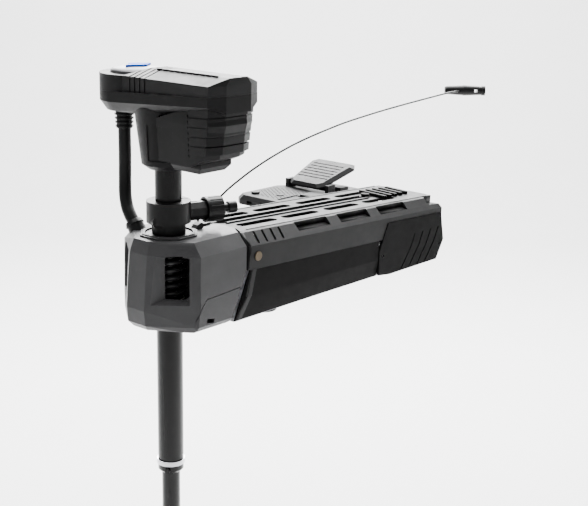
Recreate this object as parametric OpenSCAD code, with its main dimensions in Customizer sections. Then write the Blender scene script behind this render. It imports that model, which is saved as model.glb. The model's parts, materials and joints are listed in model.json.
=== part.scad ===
// Bow-mount electric trolling motor: deck mount, tilting front block, depth-adjustable mast with
// a steering head, a steered drive pod with a propeller, and a wireless foot pedal on the deck.
// Millimetres, +X towards the stern, +Z up, origin on the deck at the centre of the bolt pattern.

/* [Mount] */
// Distance from the deck bolts' centre forward to the mast
mast_offset = 370; // [360:1:380]
// Height of the front block above the deck
block_h = 148; // [146:1:150]
// Half of the mount's width
half_w = 88; // [87:1:90]
// How far the top cover falls towards the stern, in degrees
cover_fall = 2.5; // [2.4:0.1:2.6]
// Distance between the deck bolts along the boat
bolt_dx = 420; // [400:5:430]
// Distance between the deck bolts across the boat
bolt_dy = 110; // [100:1:120]

/* [Mast] */
// Outside diameter of the outer tube
tube_d = 42; // [41.8:0.1:42]
// Outside diameter of the steered inner shaft
shaft_d = 30; // [29.8:0.1:30]
// Height of the steering head's underside above the block
head_gap = 101; // [100:1:104]
// Length of the shaft from the head to the pod
shaft_l = 1194; // [1150:1:1200]

/* [Drive] */
// Diameter of the drive pod
pod_d = 98; // [94:1:100]
// Diameter of the propeller
prop_d = 270; // [250:5:280]
// Number of propeller blades
blades = 3; // [2:1:4]

/* [Pull cord] */
// Diameter of the coated pull cord
cord_d = 3.6; // [3:0.1:4]

/* [Hidden] */
$fn = 96;

wall = 4;              // cast walls of the block
skin = 3;              // moulded covers
fit = 0.05;            // radial clearance of running fits
tube_r = tube_d / 2;
shaft_r = shaft_d / 2;
tube_in_r = tube_r - 3;
pivot = [144, 0, block_h - 18];      // tilt hinge, from the mast at deck level
collar_z = block_h + 20;             // underside of the clamp body
head_z = block_h + head_gap;         // underside of the steering housing
head_floor = block_h + 190;          // underside of the head's case
head_edge = block_h + 247;           // upper edge of the head's sides
head_roof = block_h + 258;           // the head's flat roof
head_hw = 51.5;                      // half width of the head
nose_r = 57.5;                       // radius of the head's round end
nose_y = 70;                         // its centre, from the mast
parting_z = block_h + 225;           // case and cover meet here at the mast
parting_rise = 2.8;                  // the joint line climbs towards the square end, in degrees
tube_low = block_h - 382;            // lower end of the outer tube
pod_z = head_z - shaft_l - pod_d / 2 + 6;  // axis of the drive pod
gear_m = 1;                          // module of the head's gears
gear_z = head_floor + 22;            // underside of the upper gears
spring_r = 26;                       // mean radius of the coil spring
spring_wire = 8;                     // its wire
spring_low = block_h - 104;
spring_high = block_h - 20;
knob_turn = -20;                     // the clamp screw points this far off the stern
cord_hole = [79, 16];                // where the pull cord leaves the block, from the mast
pedal_at = [324, 437, 0];            // middle of the pedal's front edge
pedal_h = 24;                        // height of the pedal's base
treadle_x = 150;                     // the treadle's hinge, from the pedal's front edge
// Outline of the separate rear cover on each flank, from the mast at deck level
REAR_OUTLINE = [[437.5, 6], [437, 50], [462, 101], [633, 93], [645, 38], [623, 2], [470, 2]];
// Screws that hold the head's case: place, and the case's underside there
CASE_SCREWS = [[30, 96, head_floor], [36, -40, head_floor + 7], [14, -118, head_floor + 13]];

module at_mast() { translate([-mast_offset, 0, 0]) children(); }
module both_sides() {
  children();
  mirror([0, 1, 0]) children();
}
module on_cover() {
  at_mast() translate([0, 0, block_h + 2.8]) rotate([0, cover_fall, 0]) children();
}
module ring(ro, ri, h) {
  rotate_extrude() translate([ri, 0]) square([ro - ri, h]);
}
module slab(points, low, high) {
  translate([0, 0, low]) linear_extrude(high - low) polygon(points);
}
module slot2d(len, w) {
  square([len - w, w], center = true);
  for (s = [-1, 1]) translate([s * (len - w) / 2, 0]) circle(w / 2, $fn = 24);
}
// A spur gear with straight-sided teeth, one tooth pointing along the angle given
module gear(teeth, thick, at, bore) {
  pitch_r = gear_m * teeth / 2;
  step = 360 / teeth;
  pts = [for (i = [0 : teeth - 1]) for (p = [[-0.31, -1.2], [-0.12, 0.85], [0.12, 0.85], [0.31, -1.2]])
         let (a = at + (i + p[0]) * step, r = pitch_r + p[1] * gear_m) [r * cos(a), r * sin(a)]];
  difference() {
    linear_extrude(thick) polygon(pts);
    translate([0, 0, -1]) cylinder(r = bore, h = thick + 2);
  }
}

// ---- deck mount ----
module deck_hole_places() {
  for (x = [-1, 1], y = [-1, 1]) translate([x * bolt_dx / 2, y * bolt_dy / 2, 0]) children();
}
module base_rail() {
  color("silver") difference() {
    union() {
      at_mast() translate([66, -80, 4]) cube([562, 160, 6]);
      at_mast() both_sides() translate([98, -80, 4]) cube([522, 5, 56]);
      at_mast() both_sides() translate([100, 10, 4]) cube([90, 7, 112]);
      at_mast() both_sides() translate([pivot[0] - 18, 10, 60]) cube([36, 7, pivot[2] - 60]);
      at_mast() both_sides() translate([pivot[0], 17, pivot[2]]) rotate([90, 0, 0])
        cylinder(r = 9, h = 7);
      for (x = [-1, 1], y = [-1, 1]) translate([x * bolt_dx / 2, y * bolt_dy / 2, 4])
        cylinder(r = 12, h = 12);
    }
    deck_hole_places() translate([0, 0, 3]) cylinder(r = 3.5, h = 20);
    at_mast() translate([pivot[0], 30, pivot[2]]) rotate([90, 0, 0]) cylinder(r = 5, h = 60);
    at_mast() both_sides() translate([pivot[0] + 9.5, 9, pivot[2] - 8]) cube([20, 9, 30]);
    at_mast() both_sides() translate([pivot[0] - 29.5, 9, pivot[2] - 8]) cube([20, 9, 30]);
  }
}
module deck_pads() {
  color("#222222") difference() {
    deck_hole_places() cylinder(r = 24, h = 4);
    deck_hole_places() translate([0, 0, -1]) cylinder(r = 3.5, h = 6);
  }
}
module hinge_pin() {
  color("silver") at_mast() translate([pivot[0], 0, pivot[2]]) rotate([90, 0, 0]) {
    translate([0, 0, -20]) cylinder(r = 5 - fit, h = 40);
    for (z = [-22.5, 17.3]) translate([0, 0, z]) cylinder(r = 7.5, h = 5.2);
  }
}
// The cover's outline across the boat, from the top plane down to the joint with the side panels
function cover_outline(t) = [[-half_w + t, -60], [-half_w + t, -21 - t * 0.4], [-68 + t * 0.6, -2 - t],
                             [-63, -t], [63, -t], [68 - t * 0.6, -2 - t], [half_w - t, -21 - t * 0.4],
                             [half_w - t, -60]];
module cover_bar(t, x0, x1) {
  translate([x0, 0, 0]) rotate([90, 0, 90]) linear_extrude(x1 - x0)
    polygon(cover_outline(t));
}
module cover_plan() {
  translate([0, 0, -80]) linear_extrude(100)
    polygon([[104, -46], [91, -70], [92, -100], [630, -100], [638, -88], [632, -56], [636, -44],
             [636, 44], [632, 56], [638, 88], [630, 100], [92, 100], [91, 70], [104, 46]]);
}
module cover_slots() {
  for (x = [168, 278, 392, 504], s = [-1, 1]) translate([x, s * 33, -10])
    linear_extrude(20) slot2d(92, 19);
}
module chamfer_vents() {
  // Four slanting vents across the chamfer, then three long pockets
  both_sides() for (i = [0 : 3]) translate([119 + i * 20, -77, -11]) rotate([45, 0, 0])
    rotate([0, 0, -7]) translate([0, 0, -12]) linear_extrude(20) rotate(90) slot2d(24, 5);
}
module chamfer_pockets(t) {
  for (x = [222, 336, 450]) translate([x - t, 0, 0]) rotate([90, 0, 90]) linear_extrude(84 + 2 * t)
    polygon([[-66 + t, 3], [-66 + t, -11 - t], [-79 - t, -15 - t], [-92, 3]]);
}
module top_cover() {
  color("#4a4a4c") difference() {
    cover_body();
    // seat of the rear covers on the flanks
    at_mast() both_sides() translate([0, -half_w + 4.3, 0]) rotate([90, 0, 0]) linear_extrude(12)
      offset(delta = 0.3) polygon(REAR_OUTLINE);
  }
}
module cover_body() {
  on_cover() difference() {
    union() {
      difference() {
        intersection() {
          cover_bar(0, 80, 640);
          cover_plan();
        }
        translate([0, 0, -0.01]) cover_bar(skin, 94, 633);
        both_sides() chamfer_pockets(0);
      }
      // pocket floors, kept inside the cover
      both_sides() difference() {
        intersection() {
          chamfer_pockets(2);
          cover_bar(0.5, 96, 632);
        }
        chamfer_pockets(0);
      }
      // raised lips along the central channel
      both_sides() translate([118, 9, -5]) cube([382, 4, 7.5]);
      translate([156, -12, -9]) cube([444, 24, 3]);
      both_sides() translate([156, 9, -9]) cube([444, 3, 9]);
      // outer lip along the edge of the top
      both_sides() translate([112, 60, -1]) cube([505, 3, 2]);
    }
    // channel, and the slot that the hinge tongue swings through
    translate([156, -9, -6]) cube([500, 18, 20]);
    translate([80, -9, -70]) cube([80, 18, 90]);
    cover_slots();
    chamfer_vents();
    // upper corners cut away at the stern
    both_sides() translate([604, -120, -14]) cube([80, 57, 30]);
  }
}
module cover_discs() {
  color("#8a7350") at_mast() both_sides() translate([112, -half_w, block_h - 41])
    rotate([90, 0, 0]) cylinder(r = 7.8, h = 1.8);
}
// Lower side panel: flat upper face, lower face leaning in, slanted front edge
module side_panel() {
  color("#3a3a3c") at_mast() difference() {
    hull() {
      for (p = [[94, 86.6], [436, 71.5], [436, 36], [83, 44]])
        translate([p[0], -half_w, p[1] - 0.3]) cube([0.1, skin, 0.1]);
      for (p = [[63, 7], [436, 5]])
        translate([p[0], -half_w + 4, p[1]]) cube([0.1, skin, 0.1]);
    }
    // groove behind the raised front edge
    translate([100, -half_w - 1, 0]) rotate([0, -12, 0]) translate([-3, 0, 20]) cube([1.6, 2, 62]);
  }
}
module side_panel_left() { mirror([0, 1, 0]) side_panel(); }
module side_panel_right() { side_panel(); }
module rear_groove(x) {
  // one kinked groove: a steep upper stretch and a leaning lower one
  for (s = [[[x, 66], [x - 12, 42]], [[x - 12, 42], [x - 40, 6]]]) hull()
    for (p = s) translate([p[0], -half_w - 3, p[1]]) rotate([-90, 0, 0]) cylinder(r = 1.7, h = 3, $fn = 16);
}
module rear_cover() {
  color("#2c2c2e") at_mast() difference() {
    translate([0, -half_w + 4, 0]) rotate([90, 0, 0]) linear_extrude(5.5)
      polygon(REAR_OUTLINE);
    for (x = [547, 573, 599, 624]) rear_groove(x);
    for (p = [[449, 41], [630, 32]]) translate([p[0], -half_w - 2, p[1]]) rotate([-90, 0, 0])
      cylinder(r = 2.2, h = 8);
  }
}
module rear_cover_left() { mirror([0, 1, 0]) rear_cover(); }
module rear_cover_right() { rear_cover(); }
module panel_screws() {
  color("#111111") at_mast() both_sides() for (p = [[449, 41], [630, 32]])
    translate([p[0], -half_w + 0.6, p[1]]) rotate([-90, 0, 0]) difference() {
      union() {
        cylinder(r = 2.15, h = 2);
        cylinder(r = 1.5, h = 6);
      }
      translate([0, 0, -1]) cylinder(r = 1, h = 2, $fn = 6);
    }
}
module rear_rest() {
  color("#2a2a2c") on_cover() {
    for (i = [0 : 4]) translate([520 + i * 19, -34 + i * 1.5, 0.03]) rotate([0, 0, -8])
      cube([7, 68 - i * 3, 6]);
    translate([516, -8.8, -5.9]) cube([92, 17.6, 6]);
    translate([505, 0, -5.9]) cylinder(r = 4, h = 8);
    translate([505, 0, 2]) cylinder(r = 8, h = 5);
    translate([500, -5, -5.9]) cube([20, 10, 3]);
  }
}
module rear_end_cap() {
  color("#2c2c2e") at_mast() difference() {
    translate([622, -84, 10.2]) cube([5, 168, 49.8]);
    translate([600, 50, 30]) rotate([0, 90, 0]) cylinder(r = 9.2, h = 40);
    for (i = [0 : 5]) translate([621, -60 + i * 14, 16]) cube([7, 6, 30]);
  }
}
module latch_keeper() {
  color("silver") at_mast() difference() {
    translate([68, -20, 10]) cube([14, 40, 30]);
    translate([60, -10, 14]) cube([16, 20, 22]);
  }
}
module power_gland() {
  color("#151515") at_mast() translate([627.1, 50, 30]) rotate([0, 90, 0]) difference() {
    union() {
      cylinder(r = 13, h = 8, $fn = 6);
      translate([0, 0, 8]) cylinder(r = 11, h = 10);
      translate([0, 0, -8]) cylinder(r = 9, h = 9);
    }
    translate([0, 0, -9]) cylinder(r = 6, h = 40);
  }
}

// ---- front block ----
// Each level: height, front reach, front half width, where the side begins, half width, rear reach
BLOCK = [[5, 60, 15, -22, 76, 50], [16, 70, 20, -19, 87, 55], [40, 72, 20, -18, half_w, 65],
         [90, 68, 20, -17, half_w, 85], [128, 64, 20, -16, half_w, 85], [block_h, 57, 18, -13, 70, 84]];
module block_solid(t) {
  hull() for (i = [0 : len(BLOCK) - 1])
    let (b = BLOCK[i], z = b[0] + (i == len(BLOCK) - 1 ? -t * 1.7 : i == 0 ? -8 * min(t, 1) : 0))
      translate([0, 0, z]) linear_extrude(0.01)
        polygon([[-b[1] + t, -b[2] + t * 0.4], [b[3] + t * 0.6, -b[4] + t], [b[5] - t, -b[4] + t],
                 [b[5] - t, b[4] - t], [b[3] + t * 0.6, b[4] - t], [-b[1] + t, b[2] - t * 0.4]]);
}
// The window's frame: x along the slanting facet from its front corner, +Y into the block
module at_facet() { translate([-67, -20, 0]) rotate([0, 0, -54.5]) children(); }
module window_recess(t) {
  at_facet() hull() {
    translate([3 - t, -6, 49 - t]) cube([65 + 2 * t, 0.1, 77 + 2 * t]);
    translate([27 - t, 11 + t, 57 - t]) cube([40 + 2 * t, 0.1, 71 + 2 * t]);
  }
}
module window_hole() {
  at_facet() translate([0, 24, 0]) rotate([90, 0, 0]) linear_extrude(30)
    polygon([[27, 57], [27, 121], [31, 128], [56, 129], [67, 122], [67, 64], [59, 57]]);
}
module lower_trim_shape(t) {
  // the separate lower panel, cut out of the block's flank with a kinked front edge
  translate([0, -half_w + 6, 0]) rotate([90, 0, 0]) linear_extrude(14)
    polygon([[-30 - t, 4], [-14 - t, 44 + t], [-2 - t, 58 + t], [100, 64 + t], [100, 4]]);
}
module block_housing() {
  color("#5a5a5c") at_mast() difference() {
    union() {
      difference() {
        block_solid(0);
        block_solid(wall);
      }
      both_sides() intersection() {
        window_recess(2.5);
        block_solid(0);
      }
      translate([84, -46, block_h - 6]) linear_extrude(6)
        polygon([[-6, -22], [0, -22], [16, 0], [16, 92], [0, 114], [-6, 114]]);
      translate([60, -16, 92]) cube([24, 32, 52]);
      translate([0, 0, block_h - 14]) cylinder(r = 44, h = 13);
    }
    both_sides() {
      window_recess(0);
      window_hole();
      lower_trim_shape(1.6);
    }
    translate([0, 0, 20]) cylinder(r = 37, h = 200);
    translate([60, -8, 80]) cube([60, 16, 90]);
    translate([0, 0, -1]) linear_extrude(8) square([300, 300], center = true);
    // bores for the pull cord and the head's cable
    translate([cord_hole[0], cord_hole[1], block_h - 20]) cylinder(r = 5, h = 30);
    at_gland() translate([0, 0, -20]) cylinder(r = 14, h = 60);
    // pocket for the release tab
    translate([47, -13, block_h - 16]) cube([18, 14, 30]);
    // way for the latch bolt
    translate([40, -9, 18]) cube([60, 18, 14]);
  }
}
module lower_trim() {
  color("#4e4e50") at_mast() difference() {
    intersection() {
      lower_trim_shape(0);
      block_solid(0.8);
    }
    block_solid(wall + 0.2);
    translate([0, 0, -1]) linear_extrude(8) square([300, 300], center = true);
    translate([-2, -half_w - 4, 20]) rotate([0, 10, 0]) cube([16, 10, 7]);
  }
}
module lower_trim_left() { mirror([0, 1, 0]) lower_trim(); }
module lower_trim_right() { lower_trim(); }
module block_bottom() {
  color("#3c3c3e") at_mast() difference() {
    union() {
      intersection() {
        block_solid(wall + 0.3);
        translate([-100, -100, 7]) cube([200, 200, 6]);
      }
      translate([0, 0, 7]) cylinder(r = 30, h = spring_low - 7);
      translate([0, 0, spring_low - 6]) cylinder(r = 34, h = 6);
    }
    translate([0, 0, -1]) cylinder(r = 25, h = 200);
  }
}
module mast_bush() {
  color("#d8d4c8") at_mast() translate([0, 0, 7]) ring(24.95, tube_r + fit, spring_low - 8);
}
module top_bezel() {
  color("#8c8c8e") at_mast() translate([0, 0, block_h + 0.02]) difference() {
    union() {
      rotate([0, 0, 22.5]) cylinder(r = 48, h = 2.5, $fn = 8);
      rotate([0, 0, 22.5]) cylinder(r = 44, h = 4, $fn = 8);
    }
    translate([0, 0, -1]) cylinder(r = 37.4, h = 10);
  }
}
// Round wire wound in a helix, as a tube of rings around the mast
function helix_point(a, z0, rise) = [spring_r * cos(a), spring_r * sin(a), z0 + rise * a / 360];
module coil_spring() {
  turns = 6;
  rise = (spring_high - spring_low - spring_wire) / turns;
  n = turns * 20;
  sides = 8;
  pts = [for (i = [0 : n]) let (a = i * 18) for (k = [0 : sides - 1])
         let (c = helix_point(a, spring_low + spring_wire / 2 + 0.1, rise),
              u = spring_wire / 2 * 0.97 * cos(k * 360 / sides),
              w = spring_wire / 2 * 0.97 * sin(k * 360 / sides))
         [c[0] + u * cos(a), c[1] + u * sin(a), c[2] + w]];
  faces = concat([[for (k = [0 : sides - 1]) k]],
                 [for (i = [0 : n - 1], k = [0 : sides - 1])
                  let (a = i * sides + k, b = i * sides + (k + 1) % sides)
                  [a, a + sides, b + sides, b]],
                 [[for (k = [sides - 1 : -1 : 0]) n * sides + k]]);
  color("#1a1a1c") at_mast() polyhedron(pts, faces);
}
module spring_seat() {
  color("#18181a") at_mast() difference() {
    union() {
      translate([0, 0, spring_high + 0.1]) cylinder(r = 33, h = 20);
      translate([0, 0, block_h - 2]) cylinder(r = 36.6, h = 3.5);
      translate([0, 0, spring_high + 4]) cylinder(r = 35, h = block_h - spring_high - 6);
    }
    translate([0, 0, spring_high - 1]) cylinder(r = tube_r + fit, h = 60);
  }
}
module hinge_tongue() {
  color("#6a6a6c") at_mast() difference() {
    translate([0, 7.6, 0]) rotate([90, 0, 0]) linear_extrude(15.2) difference() {
      union() {
        polygon([[67, 96], [80, 96], [pivot[0] + 2, pivot[2] - 9.5], [pivot[0] + 2, pivot[2] + 9.5],
                 [104, block_h - 3], [67, block_h - 6]]);
        translate([pivot[0], pivot[2]]) circle(9.5);
      }
      translate([pivot[0], pivot[2]]) circle(5 + fit);
    }
    for (z = [106, 128]) translate([75, 20, z]) rotate([90, 0, 0]) cylinder(r = 2, h = 40);
  }
}
module latch_bolt() {
  color("silver") at_mast() {
    translate([48, -8.6, 19]) cube([15, 17.2, 12]);
    translate([60, -8.6, 19]) rotate([-90, 0, 0]) linear_extrude(17.2)
      polygon([[0, 0], [10, 0], [13, -4], [13, -8], [8, -12], [0, -12]]);
    translate([41, 0, 25]) rotate([0, 90, 0]) cylinder(r = 3, h = 8);
  }
}
module release_tab() {
  color("#4c4c4e") at_mast() translate([56, -6, block_h]) rotate([90, 0, 0]) {
    translate([0, 0, -6]) linear_extrude(12)
      polygon([[-7, -12], [5, -12], [7, 1.2], [8.6, 8], [3, 9.5], [-4, 6.5], [-8.4, 1.2]]);
    translate([0, -8, -6.6]) cylinder(r = 1.6, h = 13.2);
  }
}
module at_gland() { translate([-12, 56, block_h - 8]) rotate([-38, 0, 0]) children(); }
module cable_gland() {
  color("#141416") at_mast() at_gland() difference() {
    union() {
      translate([0, 0, -8]) cylinder(r = 13.8, h = 26);
      translate([0, 0, 16]) cylinder(r1 = 15.5, r2 = 13, h = 7);
    }
    translate([0, 0, -9]) cylinder(r = 10.5, h = 40);
  }
}
module cord_grommet() {
  color("#101010") at_mast() translate([cord_hole[0], cord_hole[1], block_h - 7.9]) difference() {
    union() {
      cylinder(r = 4.8, h = 8);
      translate([0, 0, 8]) cylinder(r = 6, h = 1.8);
    }
    translate([0, 0, -1]) cylinder(r = cord_d / 2 + 0.4, h = 20);
  }
}

// ---- cords ----
function unit(v) = v / norm(v);
// A ring of points round one point of a route, square to the way the route runs there
function cord_ring(p, along, r, sides, across) =
  let (t = unit(along), side = unit(cross(across, t)), up = cross(t, side))
  [for (k = [0 : sides - 1]) p + r * (cos(k * 360 / sides) * side + sin(k * 360 / sides) * up)];
module cord(route, d, sides, across) {
  n = len(route);
  pts = [for (i = [0 : n - 1]) for (p = cord_ring(route[i], route[min(i + 1, n - 1)] - route[max(i - 1, 0)],
         d / 2, sides, across)) p];
  faces = concat([[for (k = [sides - 1 : -1 : 0]) k]],
                 [for (i = [0 : n - 2], k = [0 : sides - 1])
                  let (a = i * sides + k, b = i * sides + (k + 1) % sides)
                  [a, b, b + sides, a + sides]],
                 [[for (k = [0 : sides - 1]) (n - 1) * sides + k]]);
  polyhedron(pts, faces);
}
// Catmull-Rom points through a hand-chosen route
function spline_at(p, i, t) =
  let (a = p[max(i - 1, 0)], b = p[i], c = p[i + 1], d = p[min(i + 2, len(p) - 1)])
  0.5 * ((2 * b) + (c - a) * t + (2 * a - 5 * b + 4 * c - d) * t * t + (3 * b - a - 3 * c + d) * t * t * t);
function smooth(p, steps) =
  concat([for (i = [0 : len(p) - 2]) for (s = [0 : steps - 1]) spline_at(p, i, s / steps)], [p[len(p) - 1]]);
// The pull cord's route, from its grommet on the block to the middle of the handle
PULL_ROUTE = [[-291, 16, 142], [-291, 16, 150], [-290, 15, 158], [-284, 11, 167], [-274, 5, 177],
              [-262, 1, 185.5], [-250, 0, 192.5], [-232, 0, 202], [-192, 0, 219], [-160, 0, 230.5],
              [-126, 0, 241], [-80, 0, 253], [-33, 0, 262.5], [15, 0, 270.5], [67, 0, 278],
              [120, 0, 283.5], [174, 0, 288.5], [232, 0, 293], [290, 0, 297], [345, 0, 300.5],
              [395, 0, 303.5], [440, 0, 304.5]];
// The head's cable, from the boot under the head down into its gland on the block
HEAD_ROUTE = [[-370, 101, 312], [-370, 101, 290], [-370, 101, 265], [-370, 101.5, 240],
              [-371, 101, 216], [-374.5, 97, 196], [-379, 88, 179], [-381.5, 78, 167],
              [-382, 68, 155.4], [-382, 60, 145.1], [-382, 54, 137.4]];
module pull_cord() {
  color("#3a3a3a") cord(smooth(PULL_ROUTE, 3), cord_d, 8, [0, 1, 0]);
}
module head_cable() {
  color("#121214") cord(smooth(HEAD_ROUTE, 3), 20.4, 12, [1, 0, 0]);
}
module pull_handle() {
  // a two-part grip, square to the cord, with a small square hole near one end
  color("#161618") translate([455.5, 0, 304.5]) rotate([0, 0, -49]) rotate([0, 90, 0]) difference() {
    union() {
      translate([0, 0, -34]) cylinder(r1 = 8.5, r2 = 10.5, h = 33.8);
      translate([0, 0, -0.2]) cylinder(r1 = 11, r2 = 9, h = 38);
      translate([0, 0, 37.8]) cylinder(r = 10, h = 7);
      translate([0, 0, -38]) cylinder(r1 = 7, r2 = 8.5, h = 4);
    }
    translate([-3, -20, 22]) cube([6, 40, 7]);
  }
}

// ---- mast and head ----
module outer_tube() {
  color("#1b1b1d") at_mast() translate([0, 0, tube_low]) ring(tube_r, tube_in_r, head_floor + 4 - tube_low);
}
module tube_end_ring() {
  color("silver") at_mast() translate([0, 0, tube_low - 8]) difference() {
    union() {
      cylinder(r = 23.5, h = 8);
      cylinder(r = tube_in_r - fit, h = 12);
    }
    translate([0, 0, -1]) cylinder(r = shaft_r + 0.4, h = 20);
  }
}
module shaft_bushes() {
  color("#d8d4c8") at_mast() for (z = [tube_low + 5, block_h - 10, head_floor - 18])
    translate([0, 0, z]) ring(tube_in_r, shaft_r + fit, 20);
}
module head_plan(t) {
  translate([0, nose_y]) circle(nose_r - t);
  polygon([[-head_hw + t, 60], [-head_hw + t, -138 + t * 0.5], [-25.8 + t * 0.5, -150 + t],
           [25.8 - t * 0.5, -150 + t], [head_hw - t, -138 + t * 0.5], [head_hw - t, 60]]);
}
// Everything below the joint between the head's case and its cover
module below_parting(gap) {
  translate([0, 0, parting_z - gap]) rotate([-parting_rise, 0, 0]) translate([-200, -300, -200])
    cube([400, 600, 200]);
}
module head_low_solid(t) {
  hull() {
    translate([0, nose_y, block_h + 205]) cylinder(r = nose_r - t, h = 40);
    translate([0, nose_y, head_floor + t]) cylinder(r = 47 - t, h = 1);
    for (s = [-1, 1]) translate([s * (head_hw - t) - 0.5, 44, block_h + 199 + t * 0.5]) cube([1, 1, 40]);
    for (s = [-1, 1]) translate([s * (head_hw - t) - 0.5, -138 + t * 0.5, block_h + 217 + t * 0.3])
      cube([1, 1, 25]);
    for (s = [-1, 1]) translate([s * (25.3 - t * 0.5) - 0.5, -150 + t, block_h + 207 + t * 0.7])
      cube([1, 1, 40]);
    for (s = [-1, 1]) translate([s * (34 - t) - 0.5, -6, head_floor + t]) cube([1, 1, 40]);
  }
}
module case_screw_places() {
  for (p = CASE_SCREWS, s = [-1, 1]) translate([s * p[0], p[1], p[2]]) children();
}
module head_lower_case() {
  color("#3e3e40") at_mast() difference() {
    union() {
      difference() {
        intersection() {
          head_low_solid(0);
          below_parting(0.2);
        }
        head_low_solid(skin);
      }
      intersection() {
        case_screw_places() cylinder(r = 5.5, h = 22);
        head_low_solid(0.5);
      }
    }
    case_screw_places() {
      translate([0, 0, -20]) cylinder(r = 3.5, h = 28.5);
      cylinder(r = 1.75, h = 30);
    }
    translate([0, 0, head_floor - 1]) cylinder(r = tube_r + 0.3, h = 10);
    translate([0, 101, head_floor - 5]) cylinder(r = 8, h = 40);
    translate([-20, -112, head_floor - 5]) cube([40, 84, 40]);
  }
}
module head_roof_solid(t) {
  hull() {
    translate([0, 0, head_edge - t]) linear_extrude(0.01)
      polygon([[-head_hw + t, 44], [-head_hw + t, -138], [-25.8, -150 + t], [25.8, -150 + t],
               [head_hw - t, -138], [head_hw - t, 44]]);
    translate([0, 0, head_roof - t]) linear_extrude(0.01)
      polygon([[-17.5, 20], [-17.5, -150 + t], [17.5, -150 + t], [17.5, 20]]);
  }
}
module head_stripes() {
  // four grooves over the roof and down both sides, just behind the round end
  for (i = [0 : 3]) translate([0, 27 - i * 11, 0]) difference() {
    translate([-60, -1.6, head_floor + 20]) cube([120, 3.2, 60]);
    translate([-head_hw + 1.6, -2, head_floor]) cube([2 * head_hw - 3.2, 4, head_edge - head_floor - 1]);
    hull() {
      translate([-head_hw + 1.6, -2, head_edge - 3]) cube([2 * head_hw - 3.2, 4, 1]);
      translate([-17, -2, head_roof - 2.4]) cube([34, 4, 0.8]);
    }
  }
}
module head_top_cover() {
  color("#5c5c5e") at_mast() difference() {
    union() {
      difference() {
        translate([0, 0, head_floor]) linear_extrude(head_edge - head_floor) head_plan(0);
        below_parting(0);
      }
      head_roof_solid(0);
    }
    translate([0, 0, head_floor - 1]) linear_extrude(head_edge - skin - head_floor + 1) head_plan(skin);
    head_roof_solid(skin);
    head_stripes();
    translate([0, nose_y, head_floor]) cylinder(r = 6 + fit, h = 100);
    translate([0, nose_y, head_edge - 1.5]) cylinder(r = 41, h = 20);
  }
}
module indicator_disc() {
  // dome with its pointer, spindle and gear, which turn together
  color("#b8bcc0") at_mast() translate([0, nose_y, 0]) {
    translate([0, 0, head_edge - 1.2]) cylinder(r = 40.5, h = 5.2);
    translate([0, 0, head_edge + 4]) cylinder(r1 = 39.5, r2 = 36, h = 2.6);
    translate([0, 0, head_edge + 6.6]) cylinder(r1 = 36, r2 = 26, h = 3.4);
    translate([0, 0, gear_z - 8]) cylinder(r = 6, h = head_edge - gear_z + 7);
    translate([0, 0, gear_z]) gear(44, 7, 270, 4);
    translate([0, 0, head_edge + 9.9]) linear_extrude(2.6)
      polygon([[-3, -20], [-26, -4], [-16, 0], [-9, 9], [0, 16], [9, 9], [16, 0], [26, -4], [3, -20]]);
  }
}
module steering_gear() {
  color("#c9b37a") at_mast() {
    translate([0, 0, gear_z]) gear(44, 7, 90, shaft_r);
    translate([0, 0, gear_z - 10]) gear(84, 8, 270, shaft_r);
  }
}
module idler_gear() {
  color("#e0dccf") at_mast() translate([0, 35, gear_z]) {
    gear(26, 7, 270 + 360 / 52, 3);
    translate([0, 0, -1.5]) cylinder(r = 3, h = head_edge - skin - gear_z + 1.2);
  }
}
module drive_pinion() {
  color("#e0dccf") at_mast() translate([0, -52, gear_z - 10]) {
    gear(20, 8, 90 + 9, 3);
    translate([0, 0, -20]) cylinder(r = 3, h = 28);
  }
}
module steering_motor() {
  color("#7a7a7c") at_mast() difference() {
    union() {
      translate([0, -56, head_floor - 56]) cylinder(r = 25, h = 50);
      translate([0, -52, head_floor - 6]) cylinder(r = 12, h = 5);
    }
    translate([0, -52, head_floor - 14]) cylinder(r = 3.4, h = 30);
  }
}
module control_board() {
  color("#1f5a34") at_mast() {
    translate([-26, -126, head_floor - 38]) cube([52, 2, 40]);
    for (i = [0 : 5]) translate([-24 + i * 8.4, -124.2, head_floor - 32]) cube([6, 9, 14]);
    for (x = [-18, 18]) translate([x, -124.2, head_floor - 6]) rotate([-90, 0, 0]) cylinder(r = 5, h = 14);
  }
}
// Lower housing: a tapered cone round the mast and a ribbed box behind it
module box_plan(t) {
  polygon([[-46 + t, -24], [-46 + t, -134], [-22 + t * 0.5, -146 + t], [22 - t * 0.5, -146 + t],
           [46 - t, -134], [46 - t, -24]]);
}
module housing_cone(t, low) {
  hull() {
    translate([0, 0, head_floor + 12 + t]) cylinder(r = 52 - t, h = 0.9);
    translate([0, 0, head_z + 12 + t]) cylinder(r = 41 - t, h = 0.1);
    translate([0, 0, head_z + 4 + low]) cylinder(r = 30 - t, h = 0.1);
  }
}
module housing_solid(t, low) {
  housing_cone(t, low);
  // the box reaches up to the head's rising underside, and its own underside rises as well
  hull() {
    translate([0, 0, head_floor - 1 + t]) linear_extrude(0.9) box_plan(t);
    translate([0, 0, head_floor + 27 + t]) linear_extrude(0.1) box_end(t, 1, 0.97);
    translate([0, 0, head_z + 24 + low]) translate([-43 + t, -92, 0]) cube([86 - 2 * t, 68, 0.1]);
    translate([0, 0, head_z + 37 + low]) linear_extrude(0.1) box_end(t, 0.93, 0.9);
  }
}
module box_end(t, kx, ky) {
  scale([kx, ky]) polygon([[-46 + t, -112], [-46 + t, -134], [-22 + t * 0.5, -146 + t],
                           [22 - t * 0.5, -146 + t], [46 - t, -134], [46 - t, -112]]);
}
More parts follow.
